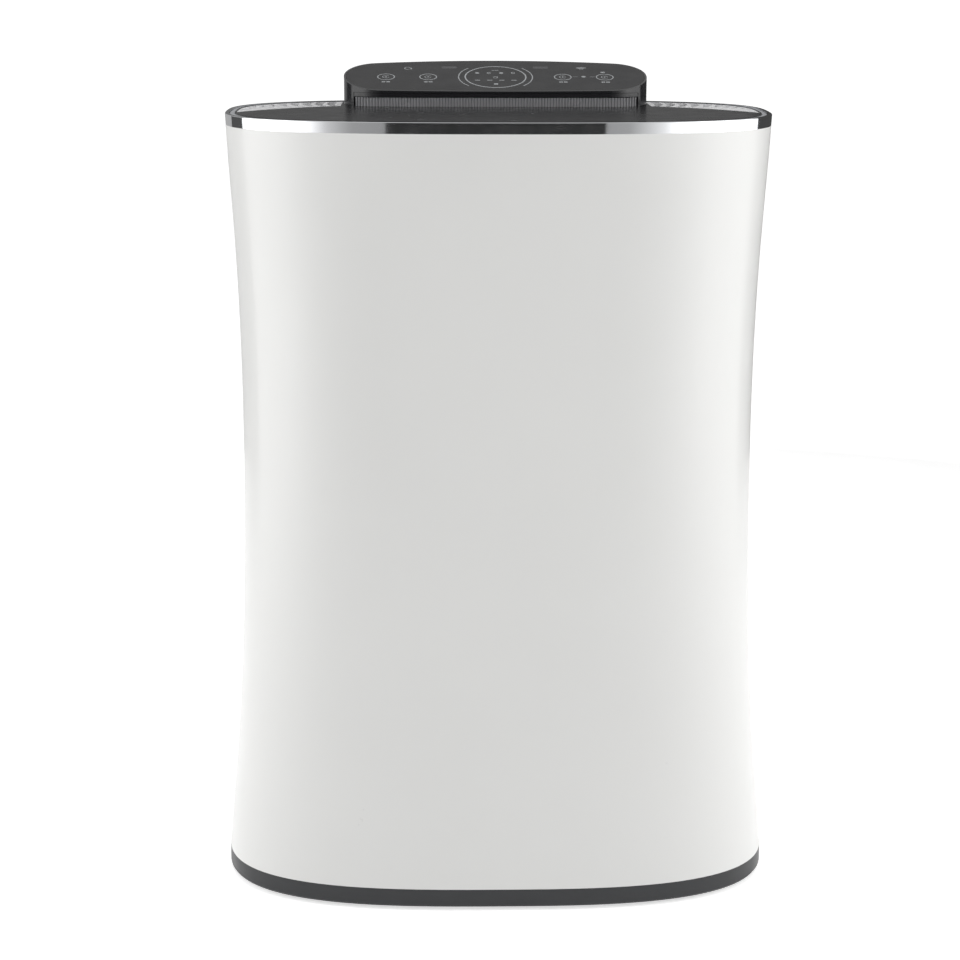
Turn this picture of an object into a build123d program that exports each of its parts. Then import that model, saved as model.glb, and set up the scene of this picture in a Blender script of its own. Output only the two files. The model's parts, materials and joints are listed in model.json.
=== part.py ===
"""Free-standing room dehumidifier: an oval, waisted cabinet with a touch panel pod on its deck.

Frame: origin on the floor under the middle of the cabinet, +Z up, the front faces -Y. Millimetres.
"""
from build123d import *
import math
import os

os.makedirs("parts", exist_ok=True)

# ---- driving dimensions -------------------------------------------------------------------
DEPTH_RATIO = 0.60  # depth of the oval over its width
EXPONENT = 2.9  # superellipse exponent of the plan outline
OUTLINE_POINTS = 40
FOOT_H = 3.4
BASE_TOP = 17.0
SHELL_TOP = 572.0
DECK_TOP = 580.0
BASE_HALF = 207.3
RING_HALF = 200.0
# height of each cabinet section and its half width
WAIST = [(BASE_TOP, 207.3), (60, 203.5), (110, 199.1), (170, 195.2), (240, 192.5), (320, 191.2),
         (400, 191.6), (460, 193.4), (520, 196.7), (572, 199.6)]
WALL = 2.5
SEAM_Y = 30.0  # plane where the front and rear shells meet
SEAM_GAP = 0.6
PANEL_GAP = 0.8  # gap round each removable rear panel

RING_LAND = 3.4  # width of the metal ring's top
RING_BEVEL = 0.35
TRIM_IN = 7.0  # inner edge of the light trim, measured in from the metal ring
DECK_T = 3.0

POD_FRONT = 38.0
POD_DEPTH = 65.5
POD_HALF = 116.0
POD_CORNER = 30.0
POD_BOW = 3.0  # bow of the pod's front edge
POD_REAR_BOW = 9.0
POD_REAR_CORNER = 27.0
POD_FRONT_H = 11.5
POD_TILT = 16.7
POD_WALL = 2.4
RIB_PITCH = 2.2
RIB_R = 0.8
RIB_TOP = 6.6
BAND_INSET = 1.2  # ground of the ribbed band, behind the pod's wall

FIN_PITCH = 9.4
FIN_T = 3.0
FIN_H = 7.0
FIN_COUNT = 15
VENT_FRONT = -31.0  # furthest forward point of each outlet

TANK_HALF, TANK_Y0, TANK_Y1, TANK_Z0, TANK_Z1 = 117.0, 22.0, 95.0, 47.0, 190.0
TANK_WALL = 2.2
TANK_DOOR = (124.0, 42.0, 200.0)  # half width, bottom and top of the tank opening
HANDLE_Z, HANDLE_W, HANDLE_H = 168.0, 96.0, 26.0  # finger slot in the tank front
INTAKE = (138.0, 262.0, 498.0)  # half width, bottom and top of the intake opening

FAN_Z = 372.0
FAN_R = 92.0
FAN_Y0, FAN_Y1 = -76.0, -18.0
SHAFT_R = 4.0
COIL_HALF = 128.0
COIL_Z0, COIL_Z1 = 256.0, 496.0
PORT_Z = 230.0  # height of the power inlet and the drain outlet
INLET_X, DRAIN_X = -84.0, 90.0


def box(x0, x1, y0, y1, z0, z1):
    """A plain block between two corners."""
    with BuildPart(mode=Mode.PRIVATE) as block:
        with Locations(((x0 + x1) / 2, (y0 + y1) / 2, (z0 + z1) / 2)):
            Box(x1 - x0, y1 - y0, z1 - z0)
    return block.part


def oval(half_width, inset=0.0):
    """Plan outline of the cabinet as a face, optionally set in by a wall thickness."""
    a = half_width - inset
    b = half_width * DEPTH_RATIO - inset
    points = []
    for step in range(OUTLINE_POINTS):
        angle = math.pi / 2 + 2 * math.pi * step / OUTLINE_POINTS
        c, s = math.cos(angle), math.sin(angle)
        reach = (abs(c) ** EXPONENT + abs(s) ** EXPONENT) ** (-1 / EXPONENT)
        points.append((a * reach * c, b * reach * s))
    with BuildSketch(mode=Mode.PRIVATE) as face:
        with BuildLine():
            Spline(*points, periodic=True)
        make_face()
    return face.sketch


def cabinet(inset=0.0):
    """Solid waisted body between the base band and the metal ring."""
    with BuildPart(mode=Mode.PRIVATE) as body:
        for height, half_width in WAIST:
            with BuildSketch(Plane.XY.offset(height)):
                add(oval(half_width, inset))
        loft()
    return body.part


def prism(face, z0, z1):
    """A plan face raised between two heights."""
    with BuildPart(mode=Mode.PRIVATE) as solid:
        with BuildSketch(Plane.XY.offset(z0)):
            add(face)
        extrude(amount=z1 - z0)
    return solid.part


def save(builder, name):
    """Label one finished piece and write it as the node of that name."""
    builder.part.label = name
    export_step(builder.part, f"parts/{name}.step")


outer = cabinet()
inner = cabinet(WALL)

# ---- base ---------------------------------------------------------------------------------
FOOT_X, FOOT_Y, FOOT_R = 140.0, 66.0, 15.0
FLOOR_T = 4.0
SCREW_SPOTS = ((-60, 88), (60, 88), (-60, -98), (60, -98))
LIP_TOP = 34.0
with BuildPart() as base_pan:
    with BuildSketch(Plane.XY.offset(FOOT_H)):
        add(oval(BASE_HALF - 1.0))
    with BuildSketch(Plane.XY.offset(FOOT_H + 1.5)):
        add(oval(BASE_HALF + 0.2))
    with BuildSketch(Plane.XY.offset(BASE_TOP)):
        add(oval(BASE_HALF))
    loft(ruled=True)
    add(prism(oval(BASE_HALF, WALL + 1.6), BASE_TOP, LIP_TOP))
    add(prism(oval(BASE_HALF, WALL + 4.6), FOOT_H + FLOOR_T, LIP_TOP), mode=Mode.SUBTRACT)
    with Locations(Plane.XY.offset(FOOT_H)):
        with GridLocations(2 * FOOT_X, 2 * FOOT_Y, 2, 2):
            Cylinder(FOOT_R, 2.0, align=(Align.CENTER, Align.CENTER, Align.MIN), mode=Mode.SUBTRACT)
        with Locations(*SCREW_SPOTS):
            Cylinder(2.2, 60, mode=Mode.SUBTRACT)
            Cylinder(4.1, 4.0, mode=Mode.SUBTRACT)
save(base_pan, "base_pan")

with BuildPart() as rubber_feet:
    with GridLocations(2 * FOOT_X, 2 * FOOT_Y, 2, 2):
        Cylinder(FOOT_R - 0.2, FOOT_H + 2.0, align=(Align.CENTER, Align.CENTER, Align.MIN))
    chamfer(rubber_feet.faces().sort_by(Axis.Z)[:4].edges(), 1.5)
save(rubber_feet, "rubber_feet")

# ---- shells -------------------------------------------------------------------------------
BIG = 300.0
with BuildPart() as front_shell:
    add(outer)
    add(inner, mode=Mode.SUBTRACT)
    add(box(-BIG, BIG, SEAM_Y - SEAM_GAP, BIG, 0, 700), mode=Mode.SUBTRACT)
save(front_shell, "front_shell")

# joining flange that the rear shell overlaps, just inside the seam
with BuildPart() as seam_flanges:
    add(cabinet(WALL + 0.3))
    add(cabinet(WALL + 2.3), mode=Mode.SUBTRACT)
    add(box(-BIG, BIG, SEAM_Y + 12, BIG, 0, 700), mode=Mode.SUBTRACT)
    add(box(-BIG, BIG, -BIG, SEAM_Y - 12, 0, 700), mode=Mode.SUBTRACT)
    add(box(-BIG, BIG, -BIG, BIG, 0, LIP_TOP + 2), mode=Mode.SUBTRACT)
    add(box(-BIG, BIG, -BIG, BIG, 566, 700), mode=Mode.SUBTRACT)
save(seam_flanges, "seam_flanges")

GRIP_Y0, GRIP_Y1, GRIP_Z0, GRIP_Z1, GRIP_X = 42.0, 92.0, 448.0, 482.0, 162.0


def grip_block(side, grow=0.0):
    """Outer block of one side grip; side is -1 for the left and 1 for the right."""
    xs = sorted((side * (GRIP_X - grow), side * BIG))
    return box(xs[0], xs[1], GRIP_Y0 - grow, GRIP_Y1 + grow, GRIP_Z0 - grow, GRIP_Z1 + grow)


with BuildPart() as rear_shell:
    add(outer)
    add(inner, mode=Mode.SUBTRACT)
    add(box(-BIG, BIG, -BIG, SEAM_Y, 0, 700), mode=Mode.SUBTRACT)
    add(box(-INTAKE[0], INTAKE[0], 60, BIG, INTAKE[1], INTAKE[2]), mode=Mode.SUBTRACT)
    add(box(-TANK_DOOR[0], TANK_DOOR[0], 60, BIG, TANK_DOOR[1], TANK_DOOR[2]), mode=Mode.SUBTRACT)
    add(grip_block(-1), mode=Mode.SUBTRACT)
    add(grip_block(1), mode=Mode.SUBTRACT)
    with BuildSketch(Plane.XZ.offset(-90)):
        with Locations((INLET_X, PORT_Z)):
            RectangleRounded(34, 30, 3)
        with Locations((DRAIN_X, PORT_Z)):
            Circle(9)
    extrude(amount=-60, mode=Mode.SUBTRACT)
save(rear_shell, "rear_shell")

for side, word in ((-1, "left"), (1, "right")):
    with BuildPart() as side_grip:
        add(grip_block(side))
        add(outer, mode=Mode.INTERSECT)
        xs = sorted((side * (GRIP_X + 2.5), side * BIG))
        add(box(xs[0], xs[1], GRIP_Y0 + 2, GRIP_Y1 - 2, GRIP_Z0 + 2, GRIP_Z1 - 2), mode=Mode.SUBTRACT)
    save(side_grip, f"{word}_side_grip")

# ---- top ----------------------------------------------------------------------------------
with BuildPart() as chrome_ring:
    with BuildSketch(Plane.XY.offset(SHELL_TOP)):
        add(oval(RING_HALF - 0.4))
    with BuildSketch(Plane.XY.offset(DECK_TOP - RING_BEVEL)):
        add(oval(RING_HALF))
    with BuildSketch(Plane.XY.offset(DECK_TOP)):
        add(oval(RING_HALF, RING_BEVEL))
    loft(ruled=True)
    add(prism(oval(RING_HALF, RING_LAND), SHELL_TOP - 1, DECK_TOP + 1), mode=Mode.SUBTRACT)
save(chrome_ring, "chrome_ring")

with BuildPart() as deck_trim:
    add(prism(oval(RING_HALF, RING_LAND + 0.4), SHELL_TOP - 4, DECK_TOP - 0.5))
    add(prism(oval(RING_HALF, TRIM_IN), SHELL_TOP - 5, DECK_TOP + 1), mode=Mode.SUBTRACT)
save(deck_trim, "deck_trim_ring")


def vent_face(side, inset=0.0):
    """Plan outline of one outlet: inside the rear rim, beside the pod and behind a bowed front edge."""
    with BuildSketch(mode=Mode.PRIVATE) as face:
        add(oval(RING_HALF, TRIM_IN + 1.2 + inset))
        with BuildSketch(mode=Mode.INTERSECT):
            with BuildLine():
                near = (side * (POD_HALF + 1.8 + inset), 47 + inset)
                middle = (side * (165 - inset), 13 + inset)
                far = (side * 196, VENT_FRONT + inset)
                ThreePointArc(near, middle, far)
                Polyline(far, (side * 210, VENT_FRONT), (side * 210, 140), (near[0], 140), near)
            make_face()
    return face.sketch


with BuildPart() as top_deck:
    add(prism(oval(RING_HALF, TRIM_IN + 0.3), DECK_TOP - DECK_T, DECK_TOP))
    for side in (-1, 1):
        add(prism(vent_face(side), DECK_TOP - DECK_T - 1, DECK_TOP + 1), mode=Mode.SUBTRACT)
    add(box(-90, 90, 52, 90, DECK_TOP - DECK_T - 1, DECK_TOP + 1), mode=Mode.SUBTRACT)
save(top_deck, "top_deck")


def fin_line(side, number):
    """Centre line of one outlet fin: straight from the rear rim, curling inward towards the front."""
    x = POD_HALF + 5.5 + FIN_PITCH * number
    with BuildLine(mode=Mode.PRIVATE) as line:
        Polyline((side * (x - 2.5), 122), (side * x, 78))
        Spline((side * x, 78), (side * (x - 4.5), 55), (side * (x - 15), 36), (side * (x - 32), 18),
               (side * (x - 54), 0), (side * (x - 80), -16),
               tangents=((side * 0.03, -1), (side * -0.85, -0.5)))
    return line.line


for side, word in ((-1, "left"), (1, "right")):
    with BuildPart() as outlet_grille:
        rim_top = DECK_TOP - 0.4
        add(prism(vent_face(side, 0.3), rim_top - FIN_H, rim_top))
        add(prism(vent_face(side, 1.7), rim_top - FIN_H - 1, rim_top + 1), mode=Mode.SUBTRACT)
        with BuildPart() as fins:
            with BuildSketch(Plane.XY.offset(rim_top - FIN_H)):
                for number in range(FIN_COUNT):
                    trace(fin_line(side, number), FIN_T)
            extrude(amount=FIN_H - 0.2)
            add(prism(vent_face(side, 0.8), 0, 700), mode=Mode.INTERSECT)
        with BuildPart() as stay:
            xs = sorted((side * (POD_HALF + 2), side * 198))
            add(box(xs[0], xs[1], 70, 73, rim_top - FIN_H, rim_top - FIN_H + 2.5))
            add(prism(vent_face(side, 0.8), 0, 700), mode=Mode.INTERSECT)
    save(outlet_grille, f"{word}_outlet_grille")


def pod_face(inset=0.0):
    """Plan outline of the panel pod: a wide rounded rectangle with bowed long edges."""
    x = POD_HALF - inset
    y0 = POD_FRONT + POD_BOW + inset
    y1 = POD_FRONT + POD_DEPTH - POD_REAR_BOW - inset
    with BuildSketch(mode=Mode.PRIVATE) as face:
        with BuildLine():
            ThreePointArc((-x, y0), (0, y0 - POD_BOW), (x, y0))
            Line((x, y0), (x, y1))
            ThreePointArc((x, y1), (0, y1 + POD_REAR_BOW), (-x, y1))
            Line((-x, y1), (-x, y0))
        make_face()
        fillet(face.vertices().group_by(Axis.Y)[0], POD_CORNER - inset)
        fillet(face.vertices().group_by(Axis.Y)[-1], POD_REAR_CORNER - inset)
    return face.sketch


def above_panel(lift):
    """Everything above the tilted panel plane, shifted along its normal by lift."""
    plane = Plane(origin=(0, POD_FRONT, DECK_TOP + POD_FRONT_H)).rotated((POD_TILT, 0, 0)).offset(lift)
    with BuildPart(mode=Mode.PRIVATE) as solid:
        with BuildSketch(plane):
            Rectangle(2 * BIG, 2 * BIG)
        extrude(amount=200)
    return solid.part


PANEL_T = 1.6
FASCIA_HALF = 108.0
with BuildPart() as pod_body:
    add(prism(pod_face(), DECK_TOP, DECK_TOP + 60))
    add(above_panel(0), mode=Mode.SUBTRACT)
    with BuildPart(mode=Mode.SUBTRACT):
        add(prism(pod_face(POD_WALL), DECK_TOP - 1, DECK_TOP + 60))
        add(above_panel(-4.5), mode=Mode.SUBTRACT)
    with BuildPart(mode=Mode.SUBTRACT):
        add(prism(pod_face(1.6), DECK_TOP - 1, DECK_TOP + 60))
        with BuildPart(mode=Mode.INTERSECT):
            add(above_panel(-PANEL_T))
    add(box(-FASCIA_HALF, FASCIA_HALF, 0, POD_FRONT + 12, DECK_TOP, DECK_TOP + RIB_TOP + 3.6),
        mode=Mode.SUBTRACT)
save(pod_body, "pod_body")

with BuildPart() as control_panel:
    add(prism(pod_face(1.8), DECK_TOP, DECK_TOP + 60))
    add(above_panel(0), mode=Mode.SUBTRACT)
    with BuildPart(mode=Mode.INTERSECT):
        add(above_panel(-PANEL_T))
save(control_panel, "control_panel")

with BuildPart() as pod_front_fascia:
    add(prism(pod_face(0.3), DECK_TOP + RIB_TOP + 0.5, DECK_TOP + RIB_TOP + 3.4))
    add(prism(pod_face(3.0), DECK_TOP, DECK_TOP + 60), mode=Mode.SUBTRACT)
    add(box(-FASCIA_HALF + 0.3, FASCIA_HALF - 0.3, 0, POD_FRONT + 11.5, 0, 700), mode=Mode.INTERSECT)
save(pod_front_fascia, "pod_front_fascia")


def pod_front_y(x):
    """Y of the pod's front wall: a shallow arc that runs into the rounded corners."""
    arc_r = (POD_HALF ** 2 + POD_BOW ** 2) / (2 * POD_BOW)
    corner_x = POD_HALF - POD_CORNER
    corner_y = POD_FRONT + arc_r - math.sqrt((arc_r - POD_CORNER) ** 2 - corner_x ** 2)
    if abs(x) > corner_x * arc_r / (arc_r - POD_CORNER):
        return corner_y - math.sqrt(POD_CORNER ** 2 - (abs(x) - corner_x) ** 2)
    return POD_FRONT + arc_r - math.sqrt(arc_r ** 2 - x ** 2)


rib_reach = int((FASCIA_HALF - 2) / RIB_PITCH)
rib_xs = [RIB_PITCH * number for number in range(-rib_reach, rib_reach + 1)]
with BuildPart() as pod_ribbed_band:
    add(prism(pod_face(BAND_INSET), DECK_TOP, DECK_TOP + RIB_TOP))
    add(prism(pod_face(3.0), DECK_TOP - 1, DECK_TOP + 60), mode=Mode.SUBTRACT)
    add(box(-FASCIA_HALF + 0.3, FASCIA_HALF - 0.3, 0, POD_FRONT + 11.5, 0, 700), mode=Mode.INTERSECT)
    with BuildSketch(Plane.XY.offset(DECK_TOP)):
        with Locations(*[(x, pod_front_y(x) + BAND_INSET + 0.1) for x in rib_xs]):
            Circle(RIB_R)
    extrude(amount=RIB_TOP)
save(pod_ribbed_band, "pod_ribbed_band")

BOARD_PLANE = Plane(origin=(0, POD_FRONT + 8, DECK_TOP + 3.0)).rotated((POD_TILT, 0, 0))
with BuildPart() as control_board:
    with BuildSketch(BOARD_PLANE):
        with Locations((0, 25)):
            RectangleRounded(190, 42, 3)
    extrude(amount=1.6)
    with BuildSketch(BOARD_PLANE.offset(1.6)):
        with Locations((0, 25)):
            with GridLocations(24, 0, 7, 1):
                Rectangle(9, 9)
    extrude(amount=1.4)
save(control_board, "control_board")

# ---- rear panels --------------------------------------------------------------------------
with BuildPart() as intake_grille:
    half, low, high = INTAKE
    gap = PANEL_GAP
    add(outer)
    add(inner, mode=Mode.SUBTRACT)
    add(box(-half + gap, half - gap, 60, BIG, low + gap, high - gap), mode=Mode.INTERSECT)
    with BuildSketch(Plane.XZ.offset(-60)):
        with Locations((0, (low + high) / 2)):
            with GridLocations(65, 9.0, 4, 24):
                SlotOverall(58, 4.6)
    extrude(amount=-90, mode=Mode.SUBTRACT)
save(intake_grille, "intake_grille")

FILTER_HALF, FILTER_Z0, FILTER_Z1, FILTER_Y0, FILTER_Y1 = 126.0, 266.0, 494.0, 88.0, 94.0
with BuildPart() as filter_frame:
    add(box(-FILTER_HALF, FILTER_HALF, FILTER_Y0, FILTER_Y1, FILTER_Z0, FILTER_Z1))
    with BuildSketch(Plane.XZ.offset(-FILTER_Y0)):
        with Locations((0, (FILTER_Z0 + FILTER_Z1) / 2)):
            with GridLocations(83, 74, 3, 3):
                RectangleRounded(76, 67, 4)
    extrude(amount=-10, mode=Mode.SUBTRACT)
    # two posts that clip the frame into the back of the grille
    with BuildSketch(Plane.XZ.offset(-FILTER_Y1)):
        with Locations((0, FILTER_Z0 + 4), (0, FILTER_Z1 - 4)):
            Rectangle(30, 5)
    extrude(amount=-(DEPTH_RATIO * 191.6 - WALL - FILTER_Y1 - 0.8))
save(filter_frame, "filter_frame")

with BuildPart() as filter_mesh:
    add(box(-FILTER_HALF + 4, FILTER_HALF - 4, FILTER_Y0 - 1.6, FILTER_Y0 - 0.1, FILTER_Z0 + 4, FILTER_Z1 - 4))
save(filter_mesh, "filter_mesh")

with BuildPart() as tank_front:
    half, low, high = TANK_DOOR
    add(outer)
    add(inner, mode=Mode.SUBTRACT)
    add(box(-half + gap, half - gap, 60, BIG, low + gap, high - gap), mode=Mode.INTERSECT)
    with BuildSketch(Plane.XZ.offset(-60)):
        with Locations((0, HANDLE_Z)):
            SlotOverall(HANDLE_W, HANDLE_H)
    extrude(amount=-90, mode=Mode.SUBTRACT)
    # two ribs that carry the tank body
    for x in (-90, 90):
        with BuildPart():
            add(box(x - 3, x + 3, TANK_Y1, BIG, 60, 150))
            add(cabinet(1), mode=Mode.INTERSECT)
save(tank_front, "tank_front")

with BuildPart() as tank_grip:
    with BuildSketch(Plane.XZ.offset(-(TANK_Y1 + 1.0))):
        with Locations((0, HANDLE_Z)):
            SlotOverall(HANDLE_W, HANDLE_H)
    extrude(amount=-19.5)
    with BuildSketch(Plane.XZ.offset(-(TANK_Y1 + 3.0))):
        with Locations((0, HANDLE_Z)):
            SlotOverall(HANDLE_W - 5, HANDLE_H - 5)
    extrude(amount=-30, mode=Mode.SUBTRACT)
save(tank_grip, "tank_grip")

with BuildPart() as water_tank:
    add(box(-TANK_HALF, TANK_HALF, TANK_Y0, TANK_Y1, TANK_Z0, TANK_Z1))
    fillet(water_tank.edges().filter_by(Axis.Z), 10)
    fillet(water_tank.faces().sort_by(Axis.Z)[0].edges(), 5)
    offset(amount=-TANK_WALL, openings=water_tank.faces().sort_by(Axis.Z)[-1])
save(water_tank, "water_tank")

with BuildPart() as tank_lid:
    add(box(-TANK_HALF, TANK_HALF, TANK_Y0, TANK_Y1, TANK_Z1, TANK_Z1 + 2.5))
    fillet(tank_lid.edges().filter_by(Axis.Z), 10)
    with Locations((0, 0, TANK_Z1)):
        with Locations((-40, 58, 0)):
            Cylinder(17, 8, mode=Mode.SUBTRACT)
save(tank_lid, "tank_lid")

# float on a hinged arm under the lid; it rests on its lower stop while the tank is empty
FLOAT_X, FLOAT_Y, FLOAT_Z, PIN_R = 60.0, 36.0, 174.0, 1.5
FLOAT_DROP = 40.0
FLOAT_ARM = 42.0


def float_rod(radius, length):
    """A round block along the float's hinge line."""
    with BuildPart(mode=Mode.PRIVATE) as rod:
        with BuildSketch(Plane.YZ.offset(FLOAT_X - length / 2)):
            with Locations((FLOAT_Y, FLOAT_Z)):
                Circle(radius)
        extrude(amount=length)
    return rod.part


with BuildPart() as float_bracket:
    for x in (FLOAT_X - 9, FLOAT_X + 9):
        add(box(x - 1.5, x + 1.5, FLOAT_Y - 5, FLOAT_Y + 5, FLOAT_Z - 5, TANK_Z1))
    add(float_rod(PIN_R, 30), mode=Mode.SUBTRACT)
save(float_bracket, "float_bracket")

with BuildPart() as float_pin:
    add(float_rod(PIN_R, 22))
save(float_pin, "float_pin")

drop = math.radians(FLOAT_DROP)
arm_plane = Plane(origin=(FLOAT_X, FLOAT_Y, FLOAT_Z), x_dir=(0, math.cos(drop), -math.sin(drop)),
                  z_dir=(1, 0, 0))
with BuildPart() as tank_float:
    add(float_rod(4, 12))
    with BuildSketch(arm_plane):
        with Locations((FLOAT_ARM / 2, 0)):
            Rectangle(FLOAT_ARM, 4)
    extrude(amount=2, both=True)
    with BuildSketch(arm_plane):
        with Locations((FLOAT_ARM, 0)):
            RectangleRounded(22, 16, 3)
    extrude(amount=17, both=True)
    add(float_rod(PIN_R + 0.05, 30), mode=Mode.SUBTRACT)
save(tank_float, "tank_float")

# ---- inside -------------------------------------------------------------------------------
BAY_T = 2.5
with BuildPart() as tank_bay:
    x, floor_z = TANK_HALF + 1.0, TANK_Z0 - 0.5
    add(box(-x - BAY_T, x + BAY_T, TANK_Y0 - 4, 92, floor_z - BAY_T, floor_z))
    add(box(-x - BAY_T, x + BAY_T, TANK_Y0 - 4, TANK_Y0 - 1.5, floor_z, 206))
    for side in (-1, 1):
        xs = sorted((side * x, side * (x + BAY_T)))
        add(box(xs[0], xs[1], TANK_Y0 - 4, 92, floor_z, 120))
    for leg_x in (-90, 0, 90):
        add(box(leg_x - 2, leg_x + 2, TANK_Y0 + 4, 90, FOOT_H + FLOOR_T, floor_z - BAY_T))
save(tank_bay, "tank_bay")

with BuildPart() as tank_sensor:
    add(box(FLOAT_X - 12, FLOAT_X + 12, TANK_Y0 - 13, TANK_Y0 - 4.2, 150, 176))
save(tank_sensor, "tank_sensor")


def finned_coil(name, y0, y1, rows):
    """Heat exchanger: thin plates across horizontal tubes joined by return bends."""
    depth = y1 - y0
    tube_r = 3.5
    pitch = (COIL_Z1 - COIL_Z0) / rows
    with BuildPart() as coil:
        with BuildSketch(Plane.YZ.offset(-COIL_HALF)):
            with Locations(((y0 + y1) / 2, (COIL_Z0 + COIL_Z1) / 2)):
                Rectangle(depth, COIL_Z1 - COIL_Z0)
        extrude(amount=0.8)
        plates = int(2 * COIL_HALF / 6.4)
        for number in range(1, plates + 1):
            with BuildSketch(Plane.YZ.offset(-COIL_HALF + 2 * COIL_HALF * number / plates - 0.8)):
                with Locations(((y0 + y1) / 2, (COIL_Z0 + COIL_Z1) / 2)):
                    Rectangle(depth, COIL_Z1 - COIL_Z0)
            extrude(amount=0.8)
        for row in range(rows):
            with BuildSketch(Plane.YZ.offset(-COIL_HALF - 3)):
                with Locations(((y0 + y1) / 2, COIL_Z0 + pitch * (row + 0.5))):
                    Circle(tube_r)
            extrude(amount=2 * COIL_HALF + 6)
        for row in range(rows - 1):
            side = -1 if row % 2 else 1
            centre = ((y0 + y1) / 2, COIL_Z0 + pitch * (row + 1))
            with BuildPart():
                start = Plane(origin=(side * (COIL_HALF + 3), centre[0], centre[1] - pitch / 2),
                              z_dir=(side, 0, 0))
                with BuildSketch(start):
                    Circle(tube_r)
                axis = Axis((side * (COIL_HALF + 3), centre[0], centre[1]), (0, -side, 0))
                revolve(axis=axis, revolution_arc=180)
    save(coil, name)


finned_coil("evaporator", 58.0, 82.0, 8)
finned_coil("condenser", 30.0, 52.0, 8)

with BuildPart() as coil_frame:
    for x0, x1 in ((-COIL_HALF - 6, -COIL_HALF - 3.5), (COIL_HALF + 3.5, COIL_HALF + 6)):
        add(box(x0, x1, 24, 83, COIL_Z0 - 4, COIL_Z1 + 6))
    add(box(-COIL_HALF - 6, COIL_HALF + 6, 24, 83, COIL_Z1 + 3.5, COIL_Z1 + 6))
    for y0, y1 in ((24, 29), (53, 57)):
        add(box(-COIL_HALF - 6, COIL_HALF + 6, y0, y1, COIL_Z0 - 4, COIL_Z0))
    # clearance for the return bends at each end
    add(box(-COIL_HALF - 5, COIL_HALF + 5, 30, 82, COIL_Z0, COIL_Z1 + 1), mode=Mode.SUBTRACT)
    with BuildSketch(Plane.YZ.offset(-160)):
        with Locations((41, (COIL_Z0 + COIL_Z1) / 2), (70, (COIL_Z0 + COIL_Z1) / 2)):
            Rectangle(9, COIL_Z1 - COIL_Z0 - 4)
    extrude(amount=320, mode=Mode.SUBTRACT)
save(coil_frame, "coil_frame")

TRAY_TOP = COIL_Z0 - 4.2
with BuildPart() as drip_tray:
    add(box(-COIL_HALF - 6, COIL_HALF + 6, 24, 84, 238, TRAY_TOP))
    add(box(-COIL_HALF - 4, COIL_HALF + 4, 26, 82, 240, TRAY_TOP + 1), mode=Mode.SUBTRACT)
    with Locations((-40, 58, 214)):
        Cylinder(6, 24, align=(Align.CENTER, Align.CENTER, Align.MIN))
        Cylinder(4, 40, align=(Align.CENTER, Align.CENTER, Align.MIN), mode=Mode.SUBTRACT)
save(drip_tray, "drip_tray")

with BuildPart() as drip_hose:
    with Locations((-40, 58, 200)):
        Cylinder(8, 22, align=(Align.CENTER, Align.CENTER, Align.MIN))
        Cylinder(6, 40, align=(Align.CENTER, Align.CENTER, Align.MIN), mode=Mode.SUBTRACT)
save(drip_hose, "drip_hose")

# compressor on three rubber grommets in front of the tank
COMP_X, COMP_Y, COMP_R, COMP_Z0, COMP_Z1 = -78.0, -36.0, 48.0, 24.0, 196.0
COMP_FOOT_R = COMP_R + 6  # circle of the three mounting feet
with BuildPart() as compressor:
    with BuildSketch(Plane.XY.offset(COMP_Z0)):
        with Locations((COMP_X, COMP_Y)):
            Circle(COMP_R)
    extrude(amount=COMP_Z1 - COMP_Z0)
    fillet(compressor.edges().filter_by(GeomType.CIRCLE), 16)
    with BuildSketch(Plane.XY.offset((COMP_Z0 + COMP_Z1) / 2 - 2)):
        with Locations((COMP_X, COMP_Y)):
            Circle(COMP_R + 1.2)
    extrude(amount=4)
    with BuildSketch(Plane.XY.offset(COMP_Z0 + 2)):
        with Locations((COMP_X, COMP_Y)):
            with PolarLocations(COMP_R - 2, 3, start_angle=30):
                RectangleRounded(32, 24, 6)
            with PolarLocations(COMP_FOOT_R, 3, start_angle=30):
                Circle(5.2, mode=Mode.SUBTRACT)
    extrude(amount=3)
    with Locations((COMP_X + 14, COMP_Y, COMP_Z1 - 1)):
        Cylinder(14, 9, align=(Align.CENTER, Align.CENTER, Align.MIN))
save(compressor, "compressor")

GROMMET_TOP = COMP_Z0 + 8
with BuildPart() as compressor_grommets:
    with BuildSketch(Plane.XY.offset(FOOT_H + FLOOR_T)):
        with Locations((COMP_X, COMP_Y)):
            with PolarLocations(COMP_FOOT_R, 3, start_angle=30):
                Circle(7.5)
    extrude(amount=COMP_Z0 + 2 - FOOT_H - FLOOR_T)
    with BuildSketch(Plane.XY.offset(COMP_Z0 + 2)):
        with Locations((COMP_X, COMP_Y)):
            with PolarLocations(COMP_FOOT_R, 3, start_angle=30):
                Circle(5.1)
    extrude(amount=3.2)
    with BuildSketch(Plane.XY.offset(FOOT_H + FLOOR_T)):
        with Locations((COMP_X, COMP_Y)):
            with PolarLocations(COMP_FOOT_R, 3, start_angle=30):
                Circle(2.6)
    extrude(amount=40, mode=Mode.SUBTRACT)
save(compressor_grommets, "compressor_grommets")

with BuildPart() as compressor_bolts:
    with BuildSketch(Plane.XY.offset(FOOT_H + FLOOR_T)):
        with Locations((COMP_X, COMP_Y)):
            with PolarLocations(COMP_FOOT_R, 3, start_angle=30):
                Circle(2.5)
    extrude(amount=GROMMET_TOP - FOOT_H - FLOOR_T)
    with BuildSketch(Plane.XY.offset(COMP_Z0 + 5.4)):
        with Locations((COMP_X, COMP_Y)):
            with PolarLocations(COMP_FOOT_R, 3, start_angle=30):
                RegularPolygon(5, 6)
    extrude(amount=3.4)
save(compressor_bolts, "compressor_bolts")


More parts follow.
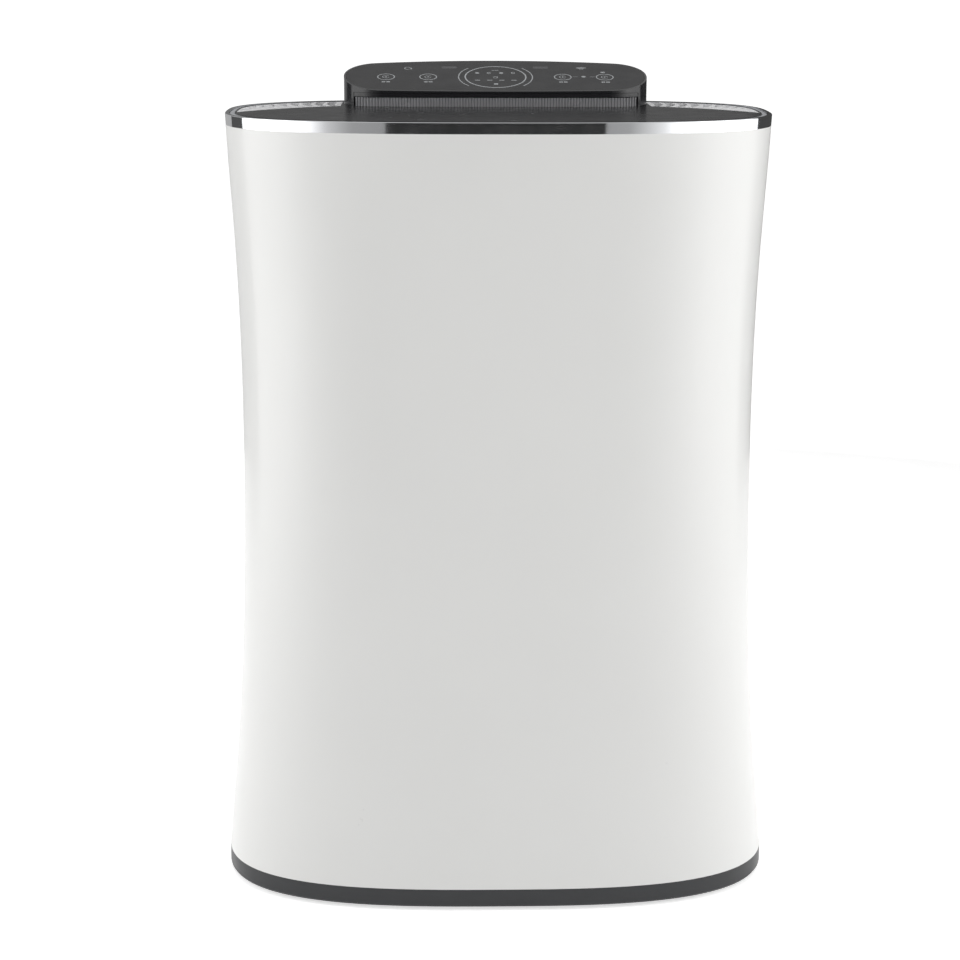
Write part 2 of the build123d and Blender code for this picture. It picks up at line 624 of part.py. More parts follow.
def pipe(name, route, bends, radius):
    """Copper pipe along straight runs joined by arcs."""
    with BuildPart() as tube:
        with BuildLine() as path:
            FilletPolyline(*route, radius=bends)
        with BuildSketch(Plane(origin=path.line @ 0, z_dir=path.line % 0)):
            Circle(radius)
        sweep()
    save(tube, name)


COIL_LEFT = -COIL_HALF - 3
pipe("suction_pipe", [(COMP_X - 24, COMP_Y + 8, COMP_Z1), (COMP_X - 24, COMP_Y + 8, 236),
                      (-146, -10, 236), (-146, 70, 271), (COIL_LEFT, 70, 271)], 10, 3.5)
pipe("discharge_pipe", [(COMP_X, COMP_Y - 26, COMP_Z1), (COMP_X, COMP_Y - 26, 222),
                        (-156, -30, 240), (-156, 41, 300), (-156, 41, 481), (COIL_LEFT, 41, 481)], 10, 3.0)
pipe("capillary_tube", [(COIL_LEFT, 41, 271), (-156, 41, 271), (-156, 56, 300), (-156, 56, 460),
                        (-156, 70, 481), (COIL_LEFT, 70, 481)], 6, 1.2)

# ---- fan ----------------------------------------------------------------------------------
BLADES = 32
SCROLL_WALL = 2.0
OUTLET_HALF = 100.0
DUCT_Z = 500.0
DUCT_TOP_HALF, DUCT_TOP_DEPTH, DUCT_TOP_Y = 158.0, 84.0, 36.0


def scroll_face(grow):
    """Outline of the fan scroll in its own plane: a round case that widens into a straight outlet."""
    with BuildSketch(mode=Mode.PRIVATE) as face:
        with Locations((0, FAN_Z)):
            Circle(FAN_R + 14 + grow)
        with Locations((0, (FAN_Z + DUCT_Z) / 2)):
            Rectangle(2 * (OUTLET_HALF + grow), DUCT_Z - FAN_Z)
    return face.sketch


def upright(face, front, rear):
    """A face drawn in X and Z, given a depth between two Y planes."""
    with BuildPart(mode=Mode.PRIVATE) as solid:
        with BuildSketch(Plane.XZ.offset(-front)):
            add(face)
        extrude(amount=front - rear)
    return solid.part


def disc(radius, front, rear, x=0.0, z=FAN_Z):
    """A round block on an axis along Y."""
    with BuildSketch(mode=Mode.PRIVATE) as face:
        with Locations((x, z)):
            Circle(radius)
    return upright(face.sketch, front, rear)


HOUSING_Y0, HOUSING_Y1 = FAN_Y0 - 12, FAN_Y1 + 16
INLET_R = 74.0
with BuildPart() as fan_housing:
    add(upright(scroll_face(SCROLL_WALL), HOUSING_Y0, HOUSING_Y1))
    add(upright(scroll_face(0), HOUSING_Y0 + SCROLL_WALL, HOUSING_Y1 + 1), mode=Mode.SUBTRACT)
    add(box(-OUTLET_HALF, OUTLET_HALF, HOUSING_Y0 + SCROLL_WALL, HOUSING_Y1, DUCT_Z - 20, DUCT_Z + 1),
        mode=Mode.SUBTRACT)
    add(disc(34, HOUSING_Y0 - 1, HOUSING_Y0 + 5), mode=Mode.SUBTRACT)
save(fan_housing, "fan_housing")

with BuildPart() as inlet_ring:
    add(upright(scroll_face(SCROLL_WALL), HOUSING_Y1, HOUSING_Y1 + SCROLL_WALL))
    add(disc(INLET_R + 3, HOUSING_Y1 - 10, HOUSING_Y1 + SCROLL_WALL))
    add(disc(INLET_R, HOUSING_Y1 - 20, HOUSING_Y1 + 10), mode=Mode.SUBTRACT)
save(inlet_ring, "inlet_ring")

with BuildPart() as impeller:
    add(disc(FAN_R, FAN_Y0, FAN_Y0 + 2))
    add(disc(15, FAN_Y0, FAN_Y0 + 22))
    add(disc(SHAFT_R, FAN_Y0 - 1, FAN_Y0 + 30), mode=Mode.SUBTRACT)
    with BuildPart():
        add(disc(FAN_R, FAN_Y1 - 3, FAN_Y1))
        add(disc(FAN_R - 13, FAN_Y1 - 4, FAN_Y1 + 1), mode=Mode.SUBTRACT)
    with BuildSketch(Plane.XZ.offset(-(FAN_Y0 + 2))):
        with Locations((0, FAN_Z)):
            with PolarLocations(FAN_R - 7, BLADES):
                with Locations(Rotation(0, 0, 32)):
                    Rectangle(12, 1.4)
    extrude(amount=-(FAN_Y1 - FAN_Y0 - 5))
save(impeller, "impeller")

MOTOR_R = 31.0
with BuildPart() as fan_motor:
    add(disc(MOTOR_R, HOUSING_Y0 - 6, FAN_Y0 - 8))
    fillet(fan_motor.edges().filter_by(GeomType.CIRCLE), 1.5)
    add(disc(9, FAN_Y0 - 9, FAN_Y0 - 3))
    add(disc(SHAFT_R + 0.05, HOUSING_Y0 - 3, FAN_Y0), mode=Mode.SUBTRACT)
save(fan_motor, "fan_motor")

with BuildPart() as motor_shaft:
    add(disc(SHAFT_R, HOUSING_Y0 - 2.8, FAN_Y0 + 20))
    chamfer(motor_shaft.edges(), 0.6)
save(motor_shaft, "motor_shaft")

MOTOR_SCREW_R = 50.0
with BuildPart() as motor_bracket:
    add(disc(58, HOUSING_Y0 - 2, HOUSING_Y0))
    add(disc(MOTOR_R + 0.2, HOUSING_Y0 - 3, HOUSING_Y0 + 1), mode=Mode.SUBTRACT)
    with BuildPart():
        add(disc(MOTOR_R + 2.4, HOUSING_Y0 - 6, HOUSING_Y0))
        add(disc(MOTOR_R + 0.2, HOUSING_Y0 - 7, HOUSING_Y0 + 1), mode=Mode.SUBTRACT)
    with BuildSketch(Plane.XZ.offset(-(HOUSING_Y0 - 3))):
        with Locations((0, FAN_Z)):
            with PolarLocations(MOTOR_SCREW_R, 4, start_angle=45):
                Circle(2.2)
    extrude(amount=-4, mode=Mode.SUBTRACT)
save(motor_bracket, "motor_bracket")

with BuildPart() as motor_screws:
    with BuildSketch(Plane.XZ.offset(-(HOUSING_Y0 - 4))):
        with Locations((0, FAN_Z)):
            with PolarLocations(MOTOR_SCREW_R, 4, start_angle=45):
                Circle(4)
    extrude(amount=-2)
    with BuildSketch(Plane.XZ.offset(-(HOUSING_Y0 - 2))):
        with Locations((0, FAN_Z)):
            with PolarLocations(MOTOR_SCREW_R, 4, start_angle=45):
                Circle(2.1)
    extrude(amount=-2)
save(motor_screws, "motor_screws")


def duct_section(grow, low):
    """Cross-section of the air duct at its lower or upper end."""
    with BuildSketch(mode=Mode.PRIVATE) as face:
        if low:
            with Locations((0, (HOUSING_Y0 + HOUSING_Y1) / 2)):
                RectangleRounded(2 * (OUTLET_HALF + grow), HOUSING_Y1 - HOUSING_Y0 - 3 + 2 * grow, 8)
        else:
            with Locations((0, DUCT_TOP_Y)):
                RectangleRounded(2 * (DUCT_TOP_HALF + grow), DUCT_TOP_DEPTH + 2 * grow, 40)
    return face.sketch


with BuildPart() as air_duct:
    for grow, mode in ((2.0, Mode.ADD), (0.0, Mode.SUBTRACT)):
        with BuildPart(mode=mode):
            with BuildSketch(Plane.XY.offset(DUCT_Z + 0.2)):
                add(duct_section(grow, True))
            with BuildSketch(Plane.XY.offset(571)):
                add(duct_section(grow, False))
            loft()
save(air_duct, "air_duct")

# ---- electrics, drain and fixings ---------------------------------------------------------
BOX_X0, BOX_X1, BOX_Y0, BOX_Y1, BOX_TOP = 28.0, 128.0, -84.0, -12.0, 110.0
COVER_LOW = BOX_TOP + 0.2
with BuildPart() as electronics_box:
    add(box(BOX_X0, BOX_X1, BOX_Y0, BOX_Y1, FOOT_H + FLOOR_T, BOX_TOP))
    add(box(BOX_X0 + 2, BOX_X1 - 2, BOX_Y0 + 2, BOX_Y1 - 2, 12, 120), mode=Mode.SUBTRACT)
save(electronics_box, "electronics_box")

with BuildPart() as electronics_cover:
    add(box(BOX_X0, BOX_X1, BOX_Y0, BOX_Y1, COVER_LOW, COVER_LOW + 2.2))
    add(box(BOX_X0 + 2.3, BOX_X1 - 2.3, BOX_Y0 + 2.3, BOX_Y1 - 2.3, BOX_TOP - 4, COVER_LOW))
    add(box(BOX_X0 + 4.3, BOX_X1 - 4.3, BOX_Y0 + 4.3, BOX_Y1 - 4.3, BOX_TOP - 5, COVER_LOW),
        mode=Mode.SUBTRACT)
save(electronics_cover, "electronics_cover")

with BuildPart() as main_board:
    add(box(34, 122, -50, -48.4, 12, 96))
    with BuildSketch(Plane.XZ.offset(50)):
        with Locations((56, 70), (96, 74)):
            Rectangle(18, 22)
        with Locations((60, 36), (84, 34), (108, 40)):
            Circle(7)
    extrude(amount=16)
save(main_board, "main_board")


def rear_y(x, half_width):
    """Y of the cabinet's rear surface at a distance x from the middle."""
    return DEPTH_RATIO * half_width * (1 - (abs(x) / half_width) ** EXPONENT) ** (1 / EXPONENT)


with BuildPart() as power_inlet:
    with BuildPart():
        with BuildSketch(Plane.XZ.offset(-92)):
            with Locations((INLET_X, PORT_Z)):
                RectangleRounded(33.4, 29.4, 2.7)
        extrude(amount=-40)
        add(outer, mode=Mode.INTERSECT)
    with BuildSketch(Plane.XZ.offset(-98)):
        with Locations((INLET_X, PORT_Z)):
            RectangleRounded(25, 20, 3)
    extrude(amount=-60, mode=Mode.SUBTRACT)
    with BuildSketch(Plane.XZ.offset(-97)):
        with Locations((INLET_X, PORT_Z)):
            with Locations((-7, -2), (0, 3), (7, -2)):
                Rectangle(2, 4.4)
    extrude(amount=-9)
save(power_inlet, "power_inlet")

DRAIN_BORE = 4.5
PORT_HALF = 192.7
drain_y = rear_y(DRAIN_X, PORT_HALF)
with BuildPart() as drain_outlet:
    add(disc(8.6, drain_y - 22, drain_y + 2, x=DRAIN_X, z=PORT_Z))
    add(disc(12, drain_y - 10, drain_y - 7, x=DRAIN_X, z=PORT_Z))
    add(disc(DRAIN_BORE, drain_y - 30, drain_y + 10, x=DRAIN_X, z=PORT_Z), mode=Mode.SUBTRACT)
save(drain_outlet, "drain_outlet")

with BuildPart() as drain_plug:
    add(disc(DRAIN_BORE - 0.3, drain_y - 12, drain_y + 2.4, x=DRAIN_X, z=PORT_Z))
    add(disc(8.4, drain_y + 2.4, drain_y + 5.6, x=DRAIN_X, z=PORT_Z))
    fillet(drain_plug.faces().sort_by(Axis.Y)[-1].edges(), 1.2)
save(drain_plug, "drain_plug")

with BuildPart() as case_screws:
    with BuildSketch(Plane.XY.offset(FOOT_H - 0.1)):
        with Locations(*SCREW_SPOTS):
            Circle(4)
    extrude(amount=2)
    with BuildSketch(Plane.XY.offset(FOOT_H + 1.9)):
        with Locations(*SCREW_SPOTS):
            Circle(2)
    extrude(amount=14)
save(case_screws, "case_screws")
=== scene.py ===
"""Studio scene and finishes for the oval dehumidifier. Metres, in the CAD frame: +Z up, front faces -Y."""
import json
import math

import bmesh
import bpy
from mathutils import Matrix, Vector


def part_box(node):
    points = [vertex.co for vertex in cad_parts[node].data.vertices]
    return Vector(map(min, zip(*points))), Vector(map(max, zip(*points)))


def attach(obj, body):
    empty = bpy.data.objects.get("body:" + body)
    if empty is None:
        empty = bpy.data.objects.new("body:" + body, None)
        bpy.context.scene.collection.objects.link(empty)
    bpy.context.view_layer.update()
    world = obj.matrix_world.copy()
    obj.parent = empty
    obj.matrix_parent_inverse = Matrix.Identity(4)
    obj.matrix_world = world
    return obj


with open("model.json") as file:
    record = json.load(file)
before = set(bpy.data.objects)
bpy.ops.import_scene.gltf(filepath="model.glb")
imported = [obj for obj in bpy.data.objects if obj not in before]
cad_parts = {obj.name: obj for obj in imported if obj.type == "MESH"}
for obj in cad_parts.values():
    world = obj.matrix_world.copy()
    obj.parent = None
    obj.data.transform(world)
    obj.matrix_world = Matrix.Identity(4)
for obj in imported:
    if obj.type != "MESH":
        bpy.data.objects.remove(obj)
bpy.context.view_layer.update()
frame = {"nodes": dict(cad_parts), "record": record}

nodes = frame["nodes"]
MM = 0.001


# ---- materials ----------------------------------------------------------------------------
class Material:
    """A node material built from a Principled shader, with helpers for its procedural detail."""

    def __init__(self, name, color, roughness, metallic=0.0, **sockets):
        self.material = bpy.data.materials.new(name)
        self.material.use_nodes = True
        self.nodes = self.material.node_tree.nodes
        self.links = self.material.node_tree.links
        self.shader = self.nodes["Principled BSDF"]
        self.shader.inputs["Base Color"].default_value = (*color, 1.0)
        self.shader.inputs["Roughness"].default_value = roughness
        self.shader.inputs["Metallic"].default_value = metallic
        for socket, value in sockets.items():
            self.shader.inputs[socket.replace("_", " ")].default_value = value
        self.color, self.roughness = color, roughness
        self.normal = None

    def node(self, kind, **values):
        """A new node; values go to its sockets, or to its own settings where no socket has the name."""
        made = self.nodes.new(kind)
        for key, value in values.items():
            if key in made.inputs:
                made.inputs[key].default_value = value
            else:
                setattr(made, key, value)
        return made

    def place(self, stretch=(1, 1, 1)):
        """Object coordinates, stretched along each axis."""
        coordinates = self.node("ShaderNodeTexCoord")
        mapping = self.node("ShaderNodeMapping", Scale=stretch)
        self.links.new(coordinates.outputs["Object"], mapping.inputs["Vector"])
        return mapping.outputs["Vector"]

    def noise(self, scale, detail=4.0, stretch=(1, 1, 1)):
        """Grey noise over the object, as a factor."""
        made = self.node("ShaderNodeTexNoise", Scale=scale, Detail=detail)
        self.links.new(self.place(stretch), made.inputs["Vector"])
        return made.outputs["Fac"]

    def ramp(self, factor, low, high, at=(0.0, 1.0)):
        """Two colours blended by a factor."""
        made = self.node("ShaderNodeValToRGB")
        for element, color, position in zip(made.color_ramp.elements, (low, high), at):
            element.color = (*color, 1.0)
            element.position = position
        self.links.new(factor, made.inputs["Fac"])
        return made.outputs["Color"]

    def vary_color(self, factor, amount, at=(0.3, 0.7)):
        """Base colour drifting by a small amount either way."""
        low = tuple(c * (1 - amount) for c in self.color)
        high = tuple(min(1.0, c * (1 + amount)) for c in self.color)
        self.links.new(self.ramp(factor, low, high, at), self.shader.inputs["Base Color"])
        return self

    def vary_roughness(self, factor, amount, at=(0.3, 0.7)):
        """Roughness drifting by a small amount either way."""
        low, high = (3 * [max(0.02, self.roughness + d)] for d in (-amount, amount))
        self.links.new(self.ramp(factor, low, high, at), self.shader.inputs["Roughness"])
        return self

    def bump(self, factor, strength, distance=0.0002):
        """Surface relief from a factor, added to any relief already there."""
        made = self.node("ShaderNodeBump", Strength=strength, Distance=distance)
        self.links.new(factor, made.inputs["Height"])
        if self.normal:
            self.links.new(self.normal, made.inputs["Normal"])
        self.normal = made.outputs["Normal"]
        self.links.new(self.normal, self.shader.inputs["Normal"])
        return self


def moulded(name, color, roughness, grain=900.0, bump=0.05, drift=0.03, **sockets):
    """Injection-moulded plastic: fine surface texture, slow colour drift and uneven gloss."""
    made = Material(name, color, roughness, **sockets)
    made.vary_color(made.noise(9.0, 3.0), drift)
    made.vary_roughness(made.noise(60.0, 6.0), 0.04)
    made.bump(made.noise(grain, 2.0), bump, 0.0001)
    return made


def brushed(name, color, roughness, stretch=(1, 1, 40), bump=0.06):
    """Metal with fine directional scratches."""
    made = Material(name, color, roughness, metallic=1.0)
    made.vary_color(made.noise(30.0, 5.0), 0.05)
    made.vary_roughness(made.noise(250.0, 4.0, stretch), 0.05)
    made.bump(made.noise(400.0, 3.0, stretch), bump, 0.00005)
    return made


SCUFF_GREY = (0.52, 0.52, 0.51, 1)


def white_gloss():
    """Satin white ABS of the shells, with a slow colour drift and a few faint grey scuffs low down."""
    made = moulded("white_shell", (0.80, 0.80, 0.785), 0.34, grain=1400.0, bump=0.03, drift=0.008,
                   Coat_Weight=0.25, Coat_Roughness=0.12)
    drift = made.shader.inputs["Base Color"].links[0].from_socket
    coordinates = made.node("ShaderNodeTexCoord")
    split = made.node("ShaderNodeSeparateXYZ")
    made.links.new(coordinates.outputs["Object"], split.inputs["Vector"])
    low_down = made.ramp(split.outputs["Z"], (1, 1, 1), (0, 0, 0), (0.03, 0.12))
    specks = made.ramp(made.noise(160.0, 5.0), (0, 0, 0), (1, 1, 1), (0.70, 0.76))
    patches = made.ramp(made.noise(14.0, 2.0), (0, 0, 0), (1, 1, 1), (0.60, 0.68))
    masks = (specks, patches, low_down)
    total = masks[0]
    for mask in masks[1:]:
        both = made.node("ShaderNodeMath", operation="MULTIPLY")
        made.links.new(total, both.inputs[0])
        made.links.new(mask, both.inputs[1])
        total = both.outputs["Value"]
    scuff = made.node("ShaderNodeMix", data_type="RGBA")
    scuff.inputs["B"].default_value = SCUFF_GREY
    made.links.new(total, scuff.inputs["Factor"])
    made.links.new(drift, scuff.inputs["A"])
    made.links.new(scuff.outputs["Result"], made.shader.inputs["Base Color"])
    return made


def chrome():
    """Polished plating of the metal ring, very slightly uneven."""
    made = Material("chrome", (0.90, 0.91, 0.93), 0.06, metallic=1.0)
    made.vary_roughness(made.noise(120.0, 5.0), 0.02)
    made.bump(made.noise(25.0, 2.0), 0.01, 0.0002)
    return made


def woven_mesh():
    """Dark nylon filter cloth: a square weave from two crossed sets of threads."""
    made = Material("filter_cloth", (0.10, 0.10, 0.11), 0.75, Sheen_Weight=0.3)
    heights = []
    for direction in ("X", "Z"):
        threads = made.node("ShaderNodeTexWave", wave_type="BANDS", bands_direction=direction, Scale=160.0)
        made.links.new(made.place(), threads.inputs["Vector"])
        heights.append(threads.outputs["Fac"])
    weave = made.node("ShaderNodeMath", operation="MAXIMUM")
    for number, height in enumerate(heights):
        made.links.new(height, weave.inputs[number])
    made.links.new(made.ramp(weave.outputs["Value"], (0.02, 0.02, 0.02), (0.16, 0.16, 0.17), (0.5, 0.9)),
                   made.shader.inputs["Base Color"])
    made.bump(weave.outputs["Value"], 0.6, 0.0004)
    return made


def circuit_board():
    """Green board with paler blocks of tracks."""
    made = Material("circuit_board", (0.02, 0.12, 0.05), 0.4, Coat_Weight=0.4)
    tracks = made.node("ShaderNodeTexBrick", Scale=120.0)
    made.links.new(made.place(), tracks.inputs["Vector"])
    made.links.new(made.ramp(tracks.outputs["Fac"], (0.02, 0.12, 0.05), (0.05, 0.22, 0.09)),
                   made.shader.inputs["Base Color"])
    return made


FINISHES = {
    "white_shell": white_gloss(),
    "white_inner": moulded("white_inner", (0.74, 0.74, 0.73), 0.5),
    "charcoal": moulded("charcoal", (0.012, 0.013, 0.015), 0.42, bump=0.12),
    "chrome": chrome(),
    "light_trim": moulded("light_trim", (0.42, 0.43, 0.45), 0.35),
    "deck": moulded("deck", (0.016, 0.016, 0.017), 0.24, grain=2200.0, bump=0.012, drift=0.01),
    "fins": moulded("fins", (0.86, 0.86, 0.87), 0.32),
    "pod": moulded("pod", (0.018, 0.018, 0.020), 0.16, bump=0.02),
    "ribs": moulded("ribs", (0.24, 0.24, 0.25), 0.24, bump=0.02),
    "panel": moulded("panel", (0.027, 0.027, 0.028), 0.36, grain=2600.0, bump=0.04, Specular_IOR_Level=0.3),
    "rubber": moulded("rubber", (0.022, 0.022, 0.022), 0.78, bump=0.25),
    "smoke": moulded("smoke", (0.55, 0.62, 0.70), 0.16, bump=0.02, Transmission_Weight=0.85, IOR=1.45),
    "steel": brushed("steel", (0.58, 0.58, 0.59), 0.32),
    "black_steel": moulded("black_steel", (0.014, 0.014, 0.015), 0.35, grain=500.0, bump=0.2),
    "copper": brushed("copper", (0.78, 0.36, 0.20), 0.28),
    "alu": brushed("alu", (0.78, 0.79, 0.80), 0.34),
    "grey_plastic": moulded("grey_plastic", (0.17, 0.18, 0.19), 0.48, bump=0.12),
    "mesh": woven_mesh(),
    "foam": moulded("foam", (0.78, 0.79, 0.76), 0.85, grain=350.0, bump=0.5),
    "board": circuit_board(),
}
SLOT_OF = {part["node"]: part["material_slot"] for part in frame["record"]["subparts"]}
for name, thing in nodes.items():
    thing.data.materials.clear()
    thing.data.materials.append(FINISHES[SLOT_OF[name]].material)


# ---- printing on the touch panel ----------------------------------------------------------
PANEL_TILT = math.radians(16.7)
PRINT_LIFT = 0.06 * MM
PRINT_T = 0.12 * MM
panel_low, panel_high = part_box("control_panel")
panel_depth = (panel_high.y - panel_low.y) / math.cos(PANEL_TILT)
rear_edge = Vector((0, panel_high.y, panel_high.z))
down_slope = Vector((0, -math.cos(PANEL_TILT), -math.sin(PANEL_TILT)))
PRINT_DROP = 2.6 * MM  # the printing sits a little in front of the panel's middle
panel_centre = rear_edge + down_slope * (panel_depth / 2 + PRINT_DROP)
panel_frame = Matrix.Translation(panel_centre) @ Matrix.Rotation(PANEL_TILT, 4, "X")

printing = moulded("panel_print", (0.32, 0.33, 0.34), 0.5, bump=0.02)
faint_printing = moulded("panel_print_faint", (0.075, 0.075, 0.078), 0.5, bump=0.02)


class Print:
    """Flat marks collected into one thin mesh; units are millimetres on the panel."""

    def __init__(self):
        self.bm = bmesh.new()

    def strip(self, inner, outer, closed=False):
        """A band of faces between two rows of points."""
        rows = [[self.bm.verts.new((x * MM, y * MM, 0)) for x, y in row] for row in (inner, outer)]
        count = len(rows[0])
        for i in range(count if closed else count - 1):
            j = (i + 1) % count
            self.bm.faces.new((rows[0][i], rows[0][j], rows[1][j], rows[1][i]))

    def arc(self, x, y, radius, width, start=0.0, end=360.0):
        """A ring, or part of one between two angles in degrees."""
        closed = end - start >= 360
        steps = max(8, int((end - start) / 5))
        angles = [math.radians(start + (end - start) * i / steps) for i in range(steps + (not closed))]
        rows = [[(x + r * math.cos(a), y + r * math.sin(a)) for a in angles]
                for r in (radius + width / 2, radius - width / 2)]
        self.strip(rows[0], rows[1], closed)

    def patch(self, x, y, width, height, corner=0.2):
        """A filled rounded rectangle."""
        points = []
        for cx, cy, start in ((1, 1, 0), (-1, 1, 90), (-1, -1, 180), (1, -1, 270)):
            for step in range(4):
                a = math.radians(start + 30 * step)
                points.append((x + cx * (width / 2 - corner) + corner * math.cos(a),
                               y + cy * (height / 2 - corner) + corner * math.sin(a)))
        self.bm.faces.new([self.bm.verts.new((px * MM, py * MM, 0)) for px, py in points])

    def dot(self, x, y, radius):
        """A filled round mark."""
        self.patch(x, y, 2 * radius, 2 * radius, radius * 0.99)

    def finish(self, name, material):
        """Thicken the marks, lay them on the panel and let them ride on the cabinet."""
        faces = self.bm.faces[:]
        bmesh.ops.recalc_face_normals(self.bm, faces=faces)
        for face in faces:
            if face.normal.z < 0:
                face.normal_flip()
        mesh = bpy.data.meshes.new(name)
        self.bm.to_mesh(mesh)
        self.bm.free()
        made = bpy.data.objects.new(name, mesh)
        bpy.context.scene.collection.objects.link(made)
        mesh.materials.append(material.material)
        made.matrix_world = panel_frame @ Matrix.Translation((0, 0, PRINT_LIFT))
        solid = made.modifiers.new("thickness", "SOLIDIFY")
        solid.thickness = PRINT_T
        solid.offset = -1
        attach(made, "cabinet")
        return made


# the dial, its two outer arcs and a ring round each touch key
DIAL_R, DIAL_LINE = 23.2, 1.1
OUTER_ARC_R, OUTER_ARC_HALF = 28.3, 43
KEYS = (-83.7, -51.5, 51.5, 83.7)
KEY_R, THIN_LINE = 6.4, 0.8
rings = Print()
rings.arc(0, 0, DIAL_R, DIAL_LINE)
for side in (0, 180):
    rings.arc(0, 0, OUTER_ARC_R, THIN_LINE, side - OUTER_ARC_HALF, side + OUTER_ARC_HALF)
for x in KEYS:
    rings.arc(x, 0, KEY_R, THIN_LINE)
rings.finish("panel_rings", printing)

# generic symbols, starting with those in and under each key
icons = Print()
for x in KEYS:
    icons.arc(x, 0, 2.6, 0.5, 30, 330)
    icons.patch(x, 0, 0.7, 2.6)
    for dx in (-1.8, 1.8):
        icons.patch(x + dx, -11, 2.8, 2.0)
# lock and signal symbols near the rear edge
icons.arc(-67.2, 19, 2.4, 0.6)
icons.patch(-64.6, 18.2, 1.2, 2.8)
for radius in (1.8, 3.5, 5.2):
    icons.arc(66.5, 16.3, radius, 0.9, 45, 135)
# a lamp with a dash each side between the right keys, and a mark above the last key
icons.dot(67.5, 0.8, 1.7)
for x in (61.0, 74.0):
    icons.patch(x, 0.6, 3.8, 0.4, 0.15)
icons.patch(82.8, 10.6, 3.4, 2.4, 0.8)
# inside the dial
for column, x in enumerate((-13.9, -4.6, 4.6, 13.9)):
    icons.patch(x, -7.2, 4.0, 1.2)
    if column in (0, 2):
        icons.dot(x, 8.8, 1.6)
    else:
        icons.arc(x, 8.8, 1.5, 0.7, 40, 320)
icons.patch(0, 14.6, 5.4, 0.7)
icons.arc(0, -0.8, 1.7, 0.6, 200, 520)
icons.patch(0, -15.4, 3.2, 2.8, 0.4)
icons.finish("panel_icons", printing)

windows = Print()
for x in (-35.3, 35.3):
    windows.patch(x, 21, 11.5, 5, 1.0)
windows.finish("panel_sensor_windows", faint_printing)


# ---- studio -------------------------------------------------------------------------------
def glow_material(name):
    """Emission whose strength is each card point's "glow" attribute."""
    made = bpy.data.materials.new(name)
    made.use_nodes = True
    tree = made.node_tree
    tree.nodes.remove(tree.nodes["Principled BSDF"])
    shader = tree.nodes.new("ShaderNodeEmission")
    glow = tree.nodes.new("ShaderNodeAttribute")
    glow.attribute_name = "glow"
    tree.links.new(glow.outputs["Fac"], shader.inputs["Strength"])
    tree.links.new(shader.outputs["Emission"], tree.nodes["Material Output"].inputs["Surface"])
    return made


def stage_mesh(name, rows, material, glow=None):
    """A grid of points as a stage object, each column with its own glow."""
    mesh = bpy.data.meshes.new(name)
    width = len(rows[0])
    points = [p for row in rows for p in row]
    faces = [(r * width + c, r * width + c + 1, (r + 1) * width + c + 1, (r + 1) * width + c)
             for r in range(len(rows) - 1) for c in range(width - 1)]
    mesh.from_pydata(points, [], faces)
    if glow:
        attribute = mesh.attributes.new("glow", "FLOAT", "POINT")
        attribute.data.foreach_set("value", list(glow) * len(rows))
    made = bpy.data.objects.new(name, mesh)
    bpy.context.scene.collection.objects.link(made)
    mesh.materials.append(material)
    return made


card_glow = glow_material("card_glow")
CARD_STEPS = 48
CARD_R, CARD_LOW, CARD_HIGH = 1.55, -0.02, 1.5


def card(name, start, end, stops, radius=CARD_R, low=CARD_LOW, high=CARD_HIGH):
    """An upright curved card between two azimuths; stops are (azimuth, glow) along it, or one glow."""
    if isinstance(stops, float):
        stops = ((0, stops), (360, stops))
    angles, glow = [], []
    for step in range(CARD_STEPS + 1):
        azimuth = start + (end - start) * step / CARD_STEPS
        level = stops[0][1]
        for (a0, g0), (a1, g1) in zip(stops, stops[1:]):
            if a0 <= abs(azimuth) <= a1:
                level = g0 + (g1 - g0) * (abs(azimuth) - a0) / (a1 - a0)
        angles.append(math.radians(azimuth))
        glow.append(level)
    rows = [[(radius * math.sin(a), -radius * math.cos(a), z) for a in angles] for z in (low, high)]
    made = stage_mesh(name, rows, card_glow, glow)
    made.visible_camera = False
    made.visible_shadow = False
    return made


# two softboxes that fade towards the front, with a dark gap between them
card("right_card", 16, 109,
     ((16, 0.33), (22, 0.36), (33, 0.85), (45, 1.9), (60, 3.0), (80, 2.2), (109, 1.4)))
card("left_card", -16, -107,
     ((16, 0.30), (26, 0.33), (36, 0.60), (48, 1.5), (62, 2.8), (85, 2.2), (107, 1.6)))
card("dark_card", -30, 30, 0.03, radius=3.2, high=1.6)

# dark ends of the ring's reflection, with a grey one beyond the left
card("right_gobo", 109, 165, 0.06)
card("left_gobo", -107, -132, 0.08)
card("left_end", -132, -165, 0.42)

# what the deck mirrors at a grazing angle, seen only in reflections
behind = card("rear_card", 128, 232, 0.17, radius=2.5, low=0.60, high=2.2)
behind.visible_diffuse = False

# pale surround that only the camera sees
DOME_R, DOME_RINGS, DOME_STEPS = 20.0, 16, 48
DOME_LOW, DOME_RISE, DOME_GLOW = -5, 95, 1.3
dome = []
for ring in range(DOME_RINGS + 1):
    tilt = math.radians(DOME_LOW + DOME_RISE * ring / DOME_RINGS)
    dome.append([(DOME_R * math.cos(tilt) * math.cos(2 * math.pi * i / DOME_STEPS),
                  DOME_R * math.cos(tilt) * math.sin(2 * math.pi * i / DOME_STEPS),
                  DOME_R * math.sin(tilt)) for i in range(DOME_STEPS + 1)])
surround = stage_mesh("surround", dome, card_glow, [DOME_GLOW] * (DOME_STEPS + 1))
for ray in ("diffuse", "glossy", "transmission", "shadow"):
    setattr(surround, f"visible_{ray}", False)

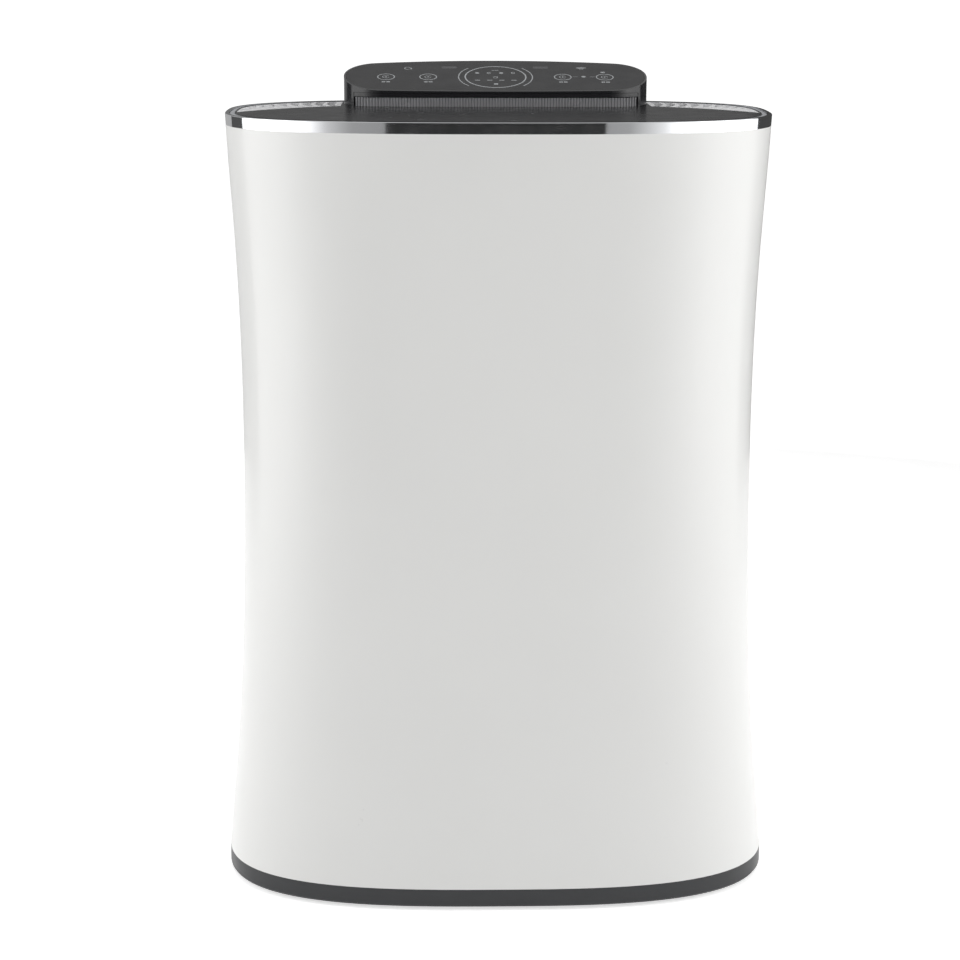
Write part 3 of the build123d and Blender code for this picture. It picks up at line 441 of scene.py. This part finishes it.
# pale floor; the light it would throw up onto the shell is left out
floor_finish = moulded("pale_floor", (0.86, 0.86, 0.86), 0.9, grain=40.0, bump=0.0)
floor_finish.shader.inputs["Specular IOR Level"].default_value = 0.0
floor_finish.shader.inputs["Emission Color"].default_value = (1, 1, 1, 1)
floor_finish.shader.inputs["Emission Strength"].default_value = 0.60
FLOOR_R, FLOOR_STEPS = 19.0, 64
turns = [2 * math.pi * i / FLOOR_STEPS for i in range(FLOOR_STEPS + 1)]
circle = [(FLOOR_R * math.cos(turn), FLOOR_R * math.sin(turn), 0) for turn in turns]
floor = stage_mesh("floor", [circle, [(0, 0, 0)] * len(circle)], floor_finish.material)
floor.visible_diffuse = False

world = bpy.data.worlds.new("studio")
bpy.context.scene.world = world
world.use_nodes = True
background = world.node_tree.nodes["Background"]
background.inputs["Color"].default_value = (1, 1, 1, 1)
background.inputs["Strength"].default_value = 0.585


def softbox(name, place, target, size, power):
    """A rectangular area light that the camera can't see, aimed at a point."""
    data = bpy.data.lights.new(name, "AREA")
    data.shape = "RECTANGLE"
    data.size, data.size_y = size
    data.energy = power
    made = bpy.data.objects.new(name, data)
    bpy.context.scene.collection.objects.link(made)
    made.location = place
    made.rotation_euler = (Vector(target) - Vector(place)).to_track_quat("-Z", "Y").to_euler()
    made.visible_camera = False
    return made


top_light = softbox("top_light", (0, -0.2, 2.4), (0, 0, 0.3), (1.6, 1.2), 10)
top_light.visible_glossy = False

view = bpy.context.scene.view_settings
view.view_transform = "Standard"
view.look = "None"
view.exposure = 0.0

# ---- camera -------------------------------------------------------------------------------
CAMERA_DISTANCE, CAMERA_HEIGHT, CAMERA_SHIFT = 1.728, 0.7004, -0.0125
CAMERA_PITCH, CAMERA_ROLL, CAMERA_TURN = math.radians(13.052), math.radians(0.165), math.radians(1.28)
camera_data = bpy.data.cameras.new("camera")
camera_data.sensor_width = 36.0
camera_data.lens = 86.86
camera = bpy.data.objects.new("camera", camera_data)
bpy.context.scene.collection.objects.link(camera)
camera.matrix_world = (Matrix.Rotation(-CAMERA_TURN, 4, "Z")
                       @ Matrix.Translation((CAMERA_SHIFT, -CAMERA_DISTANCE, CAMERA_HEIGHT))
                       @ Matrix.Rotation(math.pi / 2 - CAMERA_PITCH, 4, "X")
                       @ Matrix.Rotation(CAMERA_ROLL, 4, "Z"))
camera_data.clip_start, camera_data.clip_end = 0.01, 100
bpy.context.scene.camera = camera
